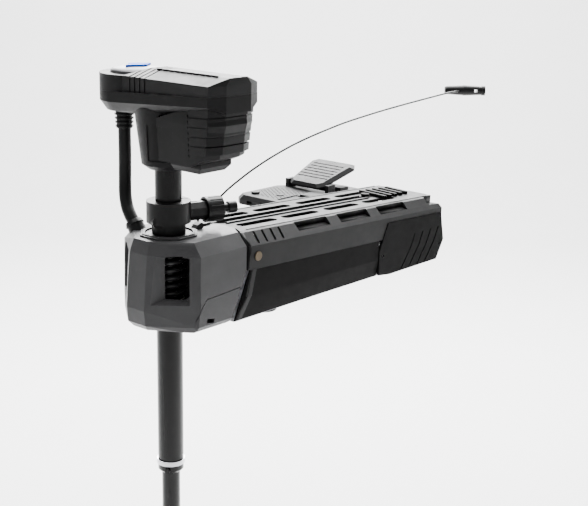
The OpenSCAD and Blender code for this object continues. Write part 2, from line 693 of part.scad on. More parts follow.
module housing_ribs() {
  // five bands, each stepped in from the one above
  for (i = [0 : 4]) translate([0, 0, head_floor + 17 - i * 14]) rotate([-parting_rise, 0, 0]) {
    hull() for (s = [[0, 0, 0.995 - i * 0.012], [0, -11.6, 0.985 - i * 0.012]])
      translate([0, 0, s[1]]) linear_extrude(0.1) intersection() {
        scale([s[2] + 0.045, s[2] + 0.012]) box_plan(0);
        translate([-60, -160]) square([120, 66]);
      }
  }
}
module steering_housing() {
  color("#343436") at_mast() difference() {
    union() {
      housing_solid(0, 0);
      housing_ribs();
    }
    housing_solid(skin, 3);
    translate([0, 0, head_z - 1]) cylinder(r = tube_r + 0.3, h = 12);
    head_low_solid(-0.4);
    // shallow sunk panel on the cone, facing the bow
    difference() {
      rotate([0, 0, 214]) translate([20, -23, head_z + 20]) cube([50, 46, 56]);
      housing_solid(1.3, 0);
    }
  }
}
module housing_cap() {
  color("#2b2b2d") at_mast() difference() {
    hull() {
      translate([-33, -104, head_z + 20]) cube([66, 64, 22]);
      translate([-27, -96, head_z + 11]) cube([54, 52, 2]);
    }
    translate([0, 0, head_z - 1]) cylinder(r = 43, h = 60);
    housing_solid(-0.05, 0);
  }
}
module cable_boot() {
  color("#101012") at_mast() translate([0, 101, 0]) difference() {
    union() {
      translate([0, 0, head_floor - 10]) cylinder(r = 14, h = 9.8);
      for (i = [0 : 3]) translate([0, 0, head_floor - 15 - i * 6.5]) {
        cylinder(r = 12.6, h = 6.5);
        translate([0, 0, 2]) cylinder(r = 15.6 - i * 0.5, h = 3);
      }
    }
    translate([0, 0, head_floor - 40]) cylinder(r = 10.3, h = 14);
  }
}
module head_screws() {
  color("#0f0f10") at_mast() case_screw_places() {
    translate([0, 0, 5.9]) cylinder(r = 3.4, h = 2.5);
    translate([0, 0, 8]) cylinder(r = 1.7, h = 12);
  }
}

// ---- depth collar ----
module depth_collar() {
  color("#19191b") at_mast() difference() {
    union() {
      translate([0, 0, block_h + 1.8]) cylinder(r = 26.6, h = 19);
      translate([0, 0, collar_z]) cylinder(r = 35, h = 34);
      rotate([0, 0, knob_turn]) translate([20, 0, collar_z + 13]) rotate([0, 90, 0])
        rotate([0, 0, 22.5]) cylinder(r = 15.5, h = 42, $fn = 8);
      rotate([0, 0, knob_turn + 180]) translate([24, 6, collar_z + 4]) rotate([-90, 0, 0])
        cylinder(r = 10, h = 12);
    }
    translate([0, 0, block_h]) cylinder(r = tube_r + fit, h = 80);
    rotate([0, 0, knob_turn]) translate([24, 0, collar_z + 13]) rotate([0, 90, 0]) cylinder(r = 6.1, h = 60);
    rotate([0, 0, knob_turn]) translate([18, -1.5, collar_z - 1]) cube([30, 3, 36]);
  }
}
module clamp_knob() {
  color("#1d1d1f") at_mast() rotate([0, 0, knob_turn]) translate([0, 0, collar_z + 13])
    rotate([0, 90, 0]) {
      translate([0, 0, 25]) cylinder(r = 6, h = 56);
      // grooved wheel, hollow on the side of the clamp
      difference() {
        translate([0, 0, 61]) cylinder(r = 20.5, h = 28);
        translate([0, 0, 60]) cylinder(r = 17.5, h = 20);
        for (a = [0 : 24 : 359]) rotate([0, 0, a]) translate([21.4, 0, 66]) cylinder(r = 1.8, h = 30);
      }
      translate([0, 0, 66]) cylinder(r = 9, h = 16);
      translate([0, 0, 88]) cylinder(r = 6.5, h = 16);
      translate([0, 0, 102]) cylinder(r = 9.5, h = 14);
    }
}

// ---- steered shaft and drive pod ----
module inner_shaft() {
  color("#202022") at_mast() translate([0, 0, pod_z + pod_d / 2 - 4])
    ring(shaft_r, shaft_r - 3, gear_z + 10 - pod_z - pod_d / 2 + 4);
}
module thrust_collar() {
  color("#151517") at_mast() translate([0, 0, tube_low - 22]) {
    difference() {
      union() {
        translate([0, 0, 4]) cylinder(r = 21, h = 9.6);
        cylinder(r1 = 17.5, r2 = 21, h = 4);
        translate([-17, -11, 7]) rotate([0, -90, 33]) cylinder(r = 4.4, h = 6);
      }
      translate([0, 0, -1]) cylinder(r = shaft_r, h = 30);
    }
  }
}
module at_pod() { at_mast() translate([0, 0, pod_z]) rotate([0, 90, 0]) children(); }
module pod_housing() {
  // aluminium tube with a moulded neck for the shaft and a skeg below
  color("#242426") difference() {
    union() {
      at_pod() translate([0, 0, -95]) cylinder(r = pod_d / 2, h = 190);
      at_mast() hull() {
        translate([0, 0, pod_z + pod_d / 2 + 40]) cylinder(r = 24, h = 2);
        translate([-48, -19, pod_z + 42]) cube([96, 38, 2]);
      }
      at_mast() translate([0, 4, pod_z]) rotate([90, 0, 0]) linear_extrude(8)
        polygon([[-40, 3 - pod_d / 2], [70, 3 - pod_d / 2], [95, -96 - pod_d / 2], [58, -104 - pod_d / 2]]);
    }
    at_pod() translate([0, 0, -96]) cylinder(r = pod_d / 2 - 4, h = 192);
    at_mast() translate([0, 0, pod_z + pod_d / 2 - 4]) cylinder(r = shaft_r, h = 80);
    at_mast() translate([0, 0, pod_z]) cylinder(r = shaft_r - 3, h = 80);
  }
}
module nose_cone() {
  color("#2a2a2c") at_pod() translate([0, 0, -95]) rotate([180, 0, 0]) difference() {
    rotate_extrude() polygon(concat([[0, 0]], [for (a = [0 : 6 : 90]) [pod_d / 2 * cos(a), 80 * sin(a)]]));
    rotate_extrude() polygon(concat([[0, -1]],
      [for (a = [0 : 9 : 90]) [(pod_d / 2 - 5) * cos(a), 74 * sin(a) - 1]]));
  }
}
module rear_cap() {
  color("#2a2a2c") at_pod() translate([0, 0, 95.1]) difference() {
    union() {
      cylinder(r1 = pod_d / 2, r2 = 34, h = 40);
      translate([0, 0, 40]) cylinder(r1 = 34, r2 = 30, h = 5);
    }
    translate([0, 0, -1]) cylinder(r1 = pod_d / 2 - 5, r2 = 30, h = 30);
    cylinder(r = 11, h = 60);
  }
}
module stator_magnets() {
  color("#4d4d50") at_pod() for (a = [0 : 90 : 359]) rotate([0, 0, a]) difference() {
    rotate_extrude(angle = 78) translate([36.6, -60]) square([8.2, 120]);
  }
}
module pod_bearings() {
  color("silver") at_pod() {
    translate([0, 0, 99]) ring(20, 6.05, 10);
    translate([0, 0, -82]) ring(44.8, 6.05, 9);
  }
}
module armature() {
  color("#a8744a") at_pod() {
    difference() {
      translate([0, 0, -55]) cylinder(r = 35.6, h = 110);
      for (a = [0 : 30 : 359]) rotate([0, 0, a]) translate([35, 0, -56]) cylinder(r = 3, h = 112);
    }
    translate([0, 0, -84]) cylinder(r = 6, h = 262);
    translate([0, 0, -70]) cylinder(r = 14, h = 14);
  }
}
module propeller() {
  color("#1a1a1c") at_pod() {
    difference() {
      translate([0, 0, 142]) cylinder(r1 = 31, r2 = 24, h = 34);
      translate([0, 0, 140]) cylinder(r = 6.01, h = 40);
    }
    for (b = [0 : blades - 1]) rotate([0, 0, b * 360 / blades + 90]) hull() {
      translate([22, 0, 159]) rotate([0, 0, 0]) rotate([52, 0, 0]) cube([4, 34, 4], center = true);
      translate([78, -8, 160]) rotate([34, 0, 0]) cube([6, 76, 3], center = true);
      translate([118, -16, 161]) rotate([26, 0, 0]) cube([6, 54, 2.4], center = true);
      translate([prop_d / 2 - 2, -22, 161]) rotate([24, 0, 0]) cube([2, 20, 1.8], center = true);
    }
  }
}
module prop_nut() {
  color("#2f2f31") at_pod() translate([0, 0, 176.1]) difference() {
    union() {
      cylinder(r = 13, h = 9, $fn = 6);
      translate([0, 0, 9]) cylinder(r1 = 11, r2 = 6, h = 8);
    }
    translate([0, 0, -1]) cylinder(r = 6.01, h = 5);
  }
}

// ---- foot pedal, standing on the deck beside the mount ----
module at_pedal() { translate(pedal_at) children(); }
module pedal_base() {
  color("#3f3f41") at_pedal() difference() {
    union() {
      hull() {
        slab([[0, -70], [14, -88], [190, -88], [236, -70], [236, 70], [190, 88], [14, 88], [0, 70]], 2, 14);
        slab([[6, -64], [20, -80], [140, -80], [140, 80], [20, 80], [6, 64]], 20, pedal_h);
      }
      slab([[200, -84], [286, -66], [286, 66], [200, 84]], 4, 16);
      for (p = [[22, -62], [22, 62], [220, -58], [220, 58]]) translate([p[0], p[1], 0])
        cylinder(r = 11, h = 8);
      for (s = [-1, 1]) translate([treadle_x + 6, s * 61.5 - 5, 12]) cube([26, 10, 30]);
      // raised pad, round foot stop and the blocks below the treadle
      slab([[96, -74], [142, -74], [134, -36], [90, -36]], 22, 27.5);
      translate([36, 54, 20]) cylinder(r = 10, h = 9);
      for (s = [-1, 1]) translate([198, s * 61 - 9, 12]) cube([30, 18, 20]);
    }
    for (x = [30, 58, 150], s = [-1, 1]) translate([x, s * 92 - 7, 5]) cube([17, 14, 9]);
    for (y = [-48, -8, 32]) translate([-2, y, 6]) cube([9, 16, 7]);
    translate([treadle_x + 20, 100, 32]) rotate([90, 0, 0]) cylinder(r = 4.05, h = 200);
    for (i = [0 : 4], s = [-1, 1]) translate([92 + i * 9, s * 90, 8]) rotate([0, 12, 0])
      translate([0, -6, 0]) cube([3.5, 12, 30]);
    translate([62, 0, pedal_h - 8]) cylinder(r = 9.3, h = 12);
    translate([24, -58, pedal_h - 2]) cube([66, 34, 4]);
  }
}
module pedal_treadle() {
  color("#6a6a6c") at_pedal() translate([treadle_x + 20, 0, 32]) {
    rotate([90, 0, 0]) translate([0, 0, -54]) cylinder(r = 7, h = 108);
    rotate([90, 0, 0]) translate([0, 0, -66]) cylinder(r = 4, h = 132);
    rotate([0, -18, 0]) difference() {
      hull() {
        slab([[-22, -40], [-10, -52], [90, -66], [108, -54], [108, 54], [90, 66], [-10, 52], [-22, 40]],
             6, 10);
        slab([[-16, -34], [-6, -46], [84, -58], [98, -48], [98, 48], [84, 58], [-6, 46], [-16, 34]],
             14, 17);
      }
      for (i = [0 : 5]) translate([10 + i * 13, -46, 15.6]) cube([4, 92, 3]);
    }
  }
}
module pedal_button() {
  color("#c8c8ca") at_pedal() translate([62, 0, pedal_h - 5.5]) {
    cylinder(r = 9, h = 6);
    translate([0, 0, 6]) cylinder(r1 = 9, r2 = 8, h = 1.6);
  }
}

base_rail();
deck_pads();
top_cover();
side_panel_left();
side_panel_right();
rear_cover_left();
rear_cover_right();
cover_discs();
panel_screws();
hinge_pin();
rear_rest();
rear_end_cap();
latch_keeper();
power_gland();
block_housing();
block_bottom();
lower_trim_left();
lower_trim_right();
top_bezel();
mast_bush();
coil_spring();
spring_seat();
hinge_tongue();
latch_bolt();
release_tab();
cable_gland();
cord_grommet();
pull_cord();
pull_handle();
outer_tube();
head_lower_case();
head_top_cover();
steering_housing();
housing_cap();
steering_motor();
control_board();
cable_boot();
head_cable();
head_screws();
tube_end_ring();
shaft_bushes();
inner_shaft();
steering_gear();
drive_pinion();
idler_gear();
indicator_disc();
thrust_collar();
depth_collar();
clamp_knob();
pod_housing();
nose_cone();
rear_cap();
stator_magnets();
armature();
pod_bearings();
propeller();
prop_nut();
pedal_base();
pedal_treadle();
pedal_button();
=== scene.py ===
import json
import math
import bmesh
import bpy
from mathutils import Matrix, Vector


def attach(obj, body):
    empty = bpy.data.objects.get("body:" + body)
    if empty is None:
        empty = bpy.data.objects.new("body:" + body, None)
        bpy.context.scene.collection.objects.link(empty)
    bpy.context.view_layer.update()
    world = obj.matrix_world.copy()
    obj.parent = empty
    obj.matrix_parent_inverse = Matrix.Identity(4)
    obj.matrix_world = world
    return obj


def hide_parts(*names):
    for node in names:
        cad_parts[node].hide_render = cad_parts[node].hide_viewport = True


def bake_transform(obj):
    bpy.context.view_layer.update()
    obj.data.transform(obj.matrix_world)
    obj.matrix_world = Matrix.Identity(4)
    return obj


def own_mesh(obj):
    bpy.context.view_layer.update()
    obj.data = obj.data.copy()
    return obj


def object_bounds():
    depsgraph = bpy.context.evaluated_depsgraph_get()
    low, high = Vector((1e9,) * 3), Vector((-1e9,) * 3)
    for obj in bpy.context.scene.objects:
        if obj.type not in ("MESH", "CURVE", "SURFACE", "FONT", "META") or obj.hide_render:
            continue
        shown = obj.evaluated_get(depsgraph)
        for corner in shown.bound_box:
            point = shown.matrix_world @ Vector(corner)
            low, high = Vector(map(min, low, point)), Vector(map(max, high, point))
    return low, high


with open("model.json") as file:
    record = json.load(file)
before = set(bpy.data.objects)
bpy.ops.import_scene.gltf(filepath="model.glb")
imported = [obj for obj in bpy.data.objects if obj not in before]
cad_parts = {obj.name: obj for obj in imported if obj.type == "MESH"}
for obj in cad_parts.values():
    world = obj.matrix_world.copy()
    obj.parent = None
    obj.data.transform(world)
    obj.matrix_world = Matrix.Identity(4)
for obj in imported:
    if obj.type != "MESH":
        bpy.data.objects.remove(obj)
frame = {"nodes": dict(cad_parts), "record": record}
CAD_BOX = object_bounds()
NODES = frame["nodes"]
MM = 0.001
MAST_X = -370        # the mast's axis, in mm
COVER_TOP = 150.8    # the cover's top face above the mast's axis point on the deck
COVER_FALL = 2.5     # the cover falls towards the stern, in degrees
HALF_WIDTH = 88      # the mount's flanks
NOSE_Y = 70          # centre of the head's round end
POD_Z = -988         # axis of the drive pod
ALONG, UPWARD = (1, 0, 0), (0, 0, 1)
HEADING = math.radians(40.75)  # the camera looks this way, from +X


# ---------- camera ----------
def add_camera():
    """The camera at the photograph's viewing angle: heading, tilt down and roll."""
    tilt, roll = math.radians(15.29), math.radians(-1.17)
    ahead = Vector((math.cos(HEADING) * math.cos(tilt), math.sin(HEADING) * math.cos(tilt), -math.sin(tilt)))
    level = Vector((math.sin(HEADING), -math.cos(HEADING), 0))
    under = ahead.cross(level)
    right = math.cos(roll) * level + math.sin(roll) * under
    down = -math.sin(roll) * level + math.cos(roll) * under
    data = bpy.data.cameras.new("camera")
    data.lens = 70.25
    data.clip_end = 100
    camera = bpy.data.objects.new("camera", data)
    place = Matrix((right, -down, -ahead)).transposed().to_4x4()
    place.translation = (-1.5644, -1.2895, 0.5979)
    camera.matrix_world = place
    bpy.context.scene.collection.objects.link(camera)
    bpy.context.scene.camera = camera


add_camera()


# ---------- cords ----------
def spline(points, steps):
    """Catmull-Rom points through a route, the same curve as in the CAD model."""
    line = []
    for i in range(len(points) - 1):
        a, b = points[max(i - 1, 0)], points[i]
        c, d = points[i + 1], points[min(i + 2, len(points) - 1)]
        for s in range(steps):
            t = s / steps
            square, cube = 2 * a - 5 * b + 4 * c - d, 3 * b - a - 3 * c + d
            line.append(0.5 * (2 * b + (c - a) * t + square * t**2 + cube * t**3))
    return line + [points[-1]]


def around(sides):
    """Angles all the way round, evenly spaced."""
    return [k * math.tau / sides for k in range(sides)]


def join_rings(mesh, rings, closed=False):
    """Quads from each ring of vertices to the next, with end caps unless the rings close on themselves."""
    for low, high in zip(rings, rings[1:] + rings[:1] if closed else rings[1:]):
        for k in range(len(low)):
            j = (k + 1) % len(low)
            mesh.faces.new((low[k], low[j], high[j], high[k]))
    if not closed:
        mesh.faces.new(rings[0][::-1])
        mesh.faces.new(rings[-1])


def tube(name, line, radius, sides, across):
    """A mesh tube along a line that runs roughly square to the direction across."""
    mesh = bmesh.new()
    rings = []
    for i, p in enumerate(line):
        along = (line[min(i + 1, len(line) - 1)] - line[max(i - 1, 0)]).normalized()
        side = across.cross(along).normalized()
        up = along.cross(side)
        rings.append([
            mesh.verts.new(p + radius * (math.cos(a) * side + math.sin(a) * up)) for a in around(sides)
        ])
    join_rings(mesh, rings)
    return from_bmesh(name, mesh)


def from_bmesh(name, mesh):
    """A smooth-shaded object from a finished bmesh."""
    data = bpy.data.meshes.new(name)
    bmesh.ops.recalc_face_normals(mesh, faces=mesh.faces)
    mesh.to_mesh(data)
    mesh.free()
    for f in data.polygons:
        f.use_smooth = True
    obj = bpy.data.objects.new(name, data)
    bpy.context.scene.collection.objects.link(obj)
    return obj


def route(*points):
    """Route points, given in mm."""
    return [Vector(p) * MM for p in points]


PULL_ROUTE = route(
    (-291, 16, 142), (-291, 16, 150), (-290, 15, 158), (-284, 11, 167), (-274, 5, 177), (-262, 1, 185.5),
    (-250, 0, 192.5), (-232, 0, 202), (-192, 0, 219), (-160, 0, 230.5), (-126, 0, 241), (-80, 0, 253),
    (-33, 0, 262.5), (15, 0, 270.5), (67, 0, 278), (120, 0, 283.5), (174, 0, 288.5), (232, 0, 293),
    (290, 0, 297), (345, 0, 300.5), (395, 0, 303.5), (440, 0, 304.5),
)
HEAD_ROUTE = route(
    (-370, 101, 312), (-370, 101, 290), (-370, 101, 265), (-370, 101.5, 240), (-371, 101, 216),
    (-374.5, 97, 196), (-379, 88, 179), (-381.5, 78, 167), (-382, 68, 155.4), (-382, 60, 145.1),
    (-382, 54, 137.4),
)


# ---------- materials ----------
def new_material(name):
    """A material with nodes, its node tree and its shader."""
    material = bpy.data.materials.new(name)
    material.use_nodes = True
    tree = material.node_tree
    return material, tree, tree.nodes["Principled BSDF"]


def add(tree, kind, **values):
    """A new node with its inputs or its settings filled in."""
    n = tree.nodes.new(kind)
    for key, value in values.items():
        if key in n.inputs:
            n.inputs[key].default_value = value
        else:
            setattr(n, key, value)
    return n


def grained(name, dark, light, rough=0.45, grain=1500, depth=0.12, metallic=0.0, wear=0.25, gloss=0.2,
            edge=0.5, streak=(45, 45, 60)):
    """Moulded plastic, paint or metal: slow tone changes, fine grain, faint scuffs and paler worn edges."""
    material, tree, bsdf = new_material(name)
    where = add(tree, "ShaderNodeTexCoord")
    slow = add(tree, "ShaderNodeTexNoise", Scale=14.0, Detail=5.0, Roughness=0.6)
    fine = add(tree, "ShaderNodeTexNoise", Scale=grain, Detail=2.0, Roughness=0.5)
    stretch = add(tree, "ShaderNodeMapping")
    stretch.inputs["Scale"].default_value = streak
    scuff = add(tree, "ShaderNodeTexNoise", Scale=1.0, Detail=4.0, Roughness=0.7)
    for n in (slow, fine, stretch):
        tree.links.new(where.outputs["Object"], n.inputs["Vector"])
    tree.links.new(stretch.outputs["Vector"], scuff.inputs["Vector"])
    tone = add(tree, "ShaderNodeValToRGB")
    tone.color_ramp.elements[0].position, tone.color_ramp.elements[1].position = 0.35, 0.7
    tone.color_ramp.elements[0].color = (*dark, 1)
    tone.color_ramp.elements[1].color = (*light, 1)
    tree.links.new(slow.outputs["Fac"], tone.inputs["Fac"])
    speckle = add(tree, "ShaderNodeMapRange")
    speckle.inputs["From Min"].default_value, speckle.inputs["From Max"].default_value = 0.3, 0.7
    speckle.inputs["To Min"].default_value, speckle.inputs["To Max"].default_value = 0.9, 1.1
    tree.links.new(fine.outputs["Fac"], speckle.inputs["Value"])
    mixed = add(tree, "ShaderNodeVectorMath", operation="SCALE")
    tree.links.new(tone.outputs["Color"], mixed.inputs[0])
    tree.links.new(speckle.outputs["Result"], mixed.inputs["Scale"])
    convex = add(tree, "ShaderNodeNewGeometry")
    rim = add(tree, "ShaderNodeMapRange")
    rim.inputs["From Min"].default_value, rim.inputs["From Max"].default_value = 0.52, 0.62
    rim.inputs["To Min"].default_value, rim.inputs["To Max"].default_value = 1.0, 1.0 + edge
    tree.links.new(convex.outputs["Pointiness"], rim.inputs["Value"])
    worn = add(tree, "ShaderNodeVectorMath", operation="SCALE")
    tree.links.new(mixed.outputs["Vector"], worn.inputs[0])
    tree.links.new(rim.outputs["Result"], worn.inputs["Scale"])
    tree.links.new(worn.outputs["Vector"], bsdf.inputs["Base Color"])
    shine = add(tree, "ShaderNodeMapRange")
    shine.inputs["From Min"].default_value, shine.inputs["From Max"].default_value = 0.35, 0.7
    shine.inputs["To Min"].default_value = rough - wear * 0.2
    shine.inputs["To Max"].default_value = min(1, rough + wear * 0.3)
    tree.links.new(scuff.outputs["Fac"], shine.inputs["Value"])
    tree.links.new(shine.outputs["Result"], bsdf.inputs["Roughness"])
    bump = add(tree, "ShaderNodeBump", Strength=depth, Distance=0.0004)
    tree.links.new(fine.outputs["Fac"], bump.inputs["Height"])
    tree.links.new(bump.outputs["Normal"], bsdf.inputs["Normal"])
    bsdf.inputs["Metallic"].default_value = metallic
    bsdf.inputs["Specular IOR Level"].default_value = gloss
    return material


def grey(v, blue=1.04):
    return (v, v, v * blue)


MATERIALS = {
    "mount_plastic": grained("mount_plastic", grey(0.009), grey(0.0125), 0.42, gloss=0.16),
    "dark_plastic": grained("dark_plastic", grey(0.0025), grey(0.004), 0.5, gloss=0.05),
    "block_paint": grained("block_paint", grey(0.026), grey(0.034), 0.4, gloss=0.28),
    "black_anodised": grained("black_anodised", grey(0.002), grey(0.0035), 0.24, depth=0.02, gloss=0.3,
                              streak=(70, 70, 5)),
    "black_plastic": grained("black_plastic", grey(0.003), grey(0.005), 0.34, gloss=0.25),
    "black_rubber": grained("black_rubber", grey(0.0025), grey(0.004), 0.38, gloss=0.25),
    "aluminium": grained("aluminium", grey(0.3), grey(0.4), 0.35, metallic=1.0),
    "steel": grained("steel", grey(0.3), grey(0.42), 0.3, metallic=1.0),
    "chrome": grained("chrome", grey(0.55), grey(0.65), 0.14, depth=0.02, metallic=1.0),
    "silver_disc": grained("silver_disc", grey(0.12), grey(0.17), 0.35, metallic=0.8),
    "bronze": grained("bronze", (0.1, 0.078, 0.052), (0.2, 0.165, 0.115), 0.4, metallic=0.6),
    "bearing_plastic": grained("bearing_plastic", grey(0.6, 0.9), grey(0.7, 0.9), 0.4),
    "copper_core": grained("copper_core", (0.35, 0.15, 0.07), (0.5, 0.25, 0.12), 0.35, metallic=0.9),
    "board_green": grained("board_green", (0.02, 0.1, 0.04), (0.03, 0.16, 0.06), 0.4),
    "pedal_grey": grained("pedal_grey", grey(0.007), grey(0.012), 0.45, gloss=0.18),
}
POINTER_BLUE = grained("pointer_blue", (0.01, 0.07, 0.5), (0.015, 0.1, 0.62), 0.5, gloss=0.12)
HEAD_GREY = grained("head_grey", grey(0.0065), grey(0.009), 0.42, gloss=0.14)
# The spring's black is paler than the other black parts: partly its own black, partly painted sheen so that
# the coils show lit.
SPRING_BLACK_PAINTED_SHEEN = grained("spring_black_painted_sheen", grey(0.012), grey(0.02), 0.3, depth=0.02, gloss=0.6)
# A near-black material: painted shade in the cover's pockets, along the front seams of the cover and the side
# panels, and in the steering housing's notches; also the colour of the roof ridge's small dark blocks.
PAINTED_SHADE_AND_DARK_TRIM = grained("painted_shade_and_dark_trim", grey(0.0015), grey(0.003), 0.6, gloss=0.1)
for part in frame["record"]["subparts"]:
    NODES[part["node"]].data.materials.clear()
    NODES[part["node"]].data.materials.append(MATERIALS[part["material_slot"]])
for n in ("head_lower_case", "steering_housing", "housing_cap"):
    NODES[n].data.materials[0] = HEAD_GREY


# ---------- edges ----------
def soften(node, width, angle):
    """Welds a CAD node's facets and rounds its edges, as a mould or a cutter leaves them."""
    obj = NODES[node]
    weld = obj.modifiers.new("weld", "WELD")
    weld.merge_threshold = 0.00001
    flat = obj.modifiers.new("flat", "DECIMATE")
    flat.decimate_type = "DISSOLVE"
    flat.angle_limit = math.radians(0.5)
    edge = obj.modifiers.new("edge", "BEVEL")
    edge.width = width * MM
    edge.segments = 2
    edge.limit_method = "ANGLE"
    edge.angle_limit = math.radians(angle)
    edge.use_clamp_overlap = True
    edge.harden_normals = True
    even = obj.modifiers.new("even", "WEIGHTED_NORMAL")
    even.weight = 100
    even.keep_sharp = True
    for f in obj.data.polygons:
        f.use_smooth = True


FACETED = {
    "block_housing": 1.4, "top_cover": 0.7, "side_panel_left": 1.0, "side_panel_right": 1.0,
    "rear_cover_left": 0.7, "rear_cover_right": 0.7, "lower_trim_left": 0.9, "lower_trim_right": 0.9,
    "steering_housing": 0.7, "housing_cap": 0.9, "pedal_base": 0.9, "pedal_treadle": 0.8,
    "release_tab": 0.6, "hinge_tongue": 0.6, "base_rail": 0.5, "block_bottom": 0.6, "rear_rest": 0.6,
}
ROUND_AND_FLAT = {"head_lower_case": 1.0, "head_top_cover": 0.9, "top_bezel": 0.5, "depth_collar": 0.7}
for n in NODES:
    if n in FACETED:
        soften(n, FACETED[n], 7)
    elif n in ROUND_AND_FLAT:
        soften(n, ROUND_AND_FLAT[n], 13)
    else:
        soften(n, 0.4, 28)


# ---------- pieces ----------
def finish(obj, material, body, replaces=()):
    """Gives a piece its material, its body and the CAD nodes that it stands for."""
    obj.data.materials.append(material)
    if body:
        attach(obj, body)
    if replaces:
        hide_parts(*replaces)
    return obj


def rounded(obj, width, segments=3, angle=25):
    """Rounds a piece's edges, the width in mm."""
    edge = obj.modifiers.new("edge", "BEVEL")
    edge.width = width * MM
    edge.segments = segments
    edge.limit_method = "ANGLE"
    edge.angle_limit = math.radians(angle)
    edge.harden_normals = True
    return obj


def slabs(name, plates):
    """Prisms as one mesh: each has an outline in mm, its plane's origin and two axes, and a height."""
    mesh = bmesh.new()
    for outline, origin, across, along, rise in plates:
        a, b = Vector(across), Vector(along)
        up = a.cross(b).normalized()
        low = [mesh.verts.new((Vector(origin) + a * u + b * v) * MM) for u, v in outline]
        high = [mesh.verts.new(p.co + up * rise * MM) for p in low]
        mesh.faces.new(low[::-1])
        mesh.faces.new(high)
        for k in range(len(low)):
            m = (k + 1) % len(low)
            mesh.faces.new((low[k], low[m], high[m], high[k]))
    return from_bmesh(name, mesh)


def pull_cord():
    """The stiff cord from the block to the grip."""
    line = spline(PULL_ROUTE, 5)
    cord = tube("pull_cord_line", line, 1.8 * MM, 14, Vector((0, 1, 0)))
    finish(cord, MATERIALS["black_plastic"], "mount", ["pull_cord"])
    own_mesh(cord)


def head_cable():
    """The thick cable from the head's boot down to the block."""
    line = spline(HEAD_ROUTE, 6)
    cable = tube("head_cable_line", line, 10.2 * MM, 28, Vector((1, 0, 0)))
    finish(cable, MATERIALS["black_rubber"], None, ["head_cable"])
    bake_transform(cable)


def coil_spring():
    """The coil spring round the mast."""
    turns, per_turn, wire, mean, low, high = 6, 36, 8, 26, 44.1, 128
    rise = (high - low - wire) / turns
    line = []
    for i in range(turns * per_turn + 1):
        a = i * math.tau / per_turn
        z = low + wire / 2 + rise * i / per_turn
        line.append(Vector((mean * math.cos(a) + MAST_X, mean * math.sin(a), z)) * MM)
    spring = tube("spring_coil", line, 3.9 * MM, 16, Vector((0, 0, 1)))
    finish(spring, SPRING_BLACK_PAINTED_SHEEN, "block", ["coil_spring"])
    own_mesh(spring)


def lathe(name, profile, centre, axis, across, sides=96):
    """A turned piece: profile points are (radius, height along the axis), in mm."""
    mesh = bmesh.new()
    a, up = Vector(across), Vector(axis)
    b = up.cross(a)
    foot = Vector(centre)
    spokes = [math.cos(t) * a + math.sin(t) * b for t in around(sides)]
    rings = [[mesh.verts.new((foot + up * h + r * spoke) * MM) for spoke in spokes] for r, h in profile]
    join_rings(mesh, rings)
    return from_bmesh(name, mesh)


def indicator():
    """A silver dome on its spindle, with a blue two-part arrow on top."""
    spindle = [(6, 352), (6, 360), (22.5, 360), (22.5, 367), (6, 367), (6, 393.8)]
    rim = [(40.4, 393.8), (40.4, 398.2), (40, 398.9), (39.2, 399.5)]
    crown = [(38, 400.6), (35, 402.2), (30, 403.6), (22, 404.6), (10, 405), (1, 405)]
    dome = lathe("indicator_dome", spindle + rim + crown, (MAST_X, NOSE_Y, 0), (0, 0, 1), (1, 0, 0))
    finish(rounded(dome, 0.3), MATERIALS["silver_disc"], "indicator", ["indicator_disc"])
    half = [(0, -18.5), (3.4, -20), (26, -4.5), (16.5, 0.6), (9.3, 9.5), (0, 16)]
    wing = half + [(-x, y) for x, y in half[-2:0:-1]]
    arrow = slabs("pointer_arrow", [(wing, (MAST_X, NOSE_Y, 403.5), (1, 0, 0), (0, 1, 0), 3.95)])
    finish(rounded(arrow, 0.5), POINTER_BLUE, "indicator")


def housing_dashes():
    """Painted shade: short dark plates down the front edge of the steering housing's ribbed box, on both
    sides, standing for its notches in shade.
    """
    dash = [(-1.3, 0), (1.3, 0), (1.3, 5), (-1.3, 5)]
    plates = []
    for side in (-1, 1):
        for i in range(8):
            z = 286 + 8.4 * i
            x = MAST_X + side * (43.0 + (z - 286) * 0.045)
            plates.append((dash, (x, -91, z), (0, 1, 0), (0, 0, 1), 0.9 * side))
    finish(slabs("housing_dashes", plates), PAINTED_SHADE_AND_DARK_TRIM, "mast")


def pedal_grip():
    """Rows of short raised bars on the pedal's top, for grip."""
    bar = [(-2.2, -1), (2.2, -1), (2.2, 1), (-2.2, 1)]
    plates = []
    for i in range(9):
        for j in range(12):
            x, y = 324 + 30 + 11 * i + 5 * (j % 2), 437 - 24 + 8 * j
            if (x - 386) ** 2 + (y - 437) ** 2 > 190 and (x - 360) ** 2 + (y - 491) ** 2 > 170:
                plates.append((bar, (x, y, 23.9), (0.9, 0.44, 0), (-0.44, 0.9, 0), 1.0))
    finish(rounded(slabs("pedal_grip", plates), 0.2, 1), MATERIALS["pedal_grey"], "mount")


def mirrored(plates):
    """The same plates on the other side of the boat's centre line."""
    return plates + [
        (outline, (o[0], -o[1], o[2]), (a[0], -a[1], a[2]), (b[0], -b[1], b[2]), -rise)
        for outline, o, a, b, rise in plates
    ]


def on_cover(plates):
    """Plates given in the cover's own frame: x from the mast along the cover, z from its top face."""
    fall = Matrix.Rotation(math.radians(COVER_FALL), 3, "Y")
    return [
        (outline, fall @ Vector(o) + Vector((MAST_X, 0, COVER_TOP)), fall @ Vector(a), fall @ Vector(b), rise)
        for outline, o, a, b, rise in plates
    ]


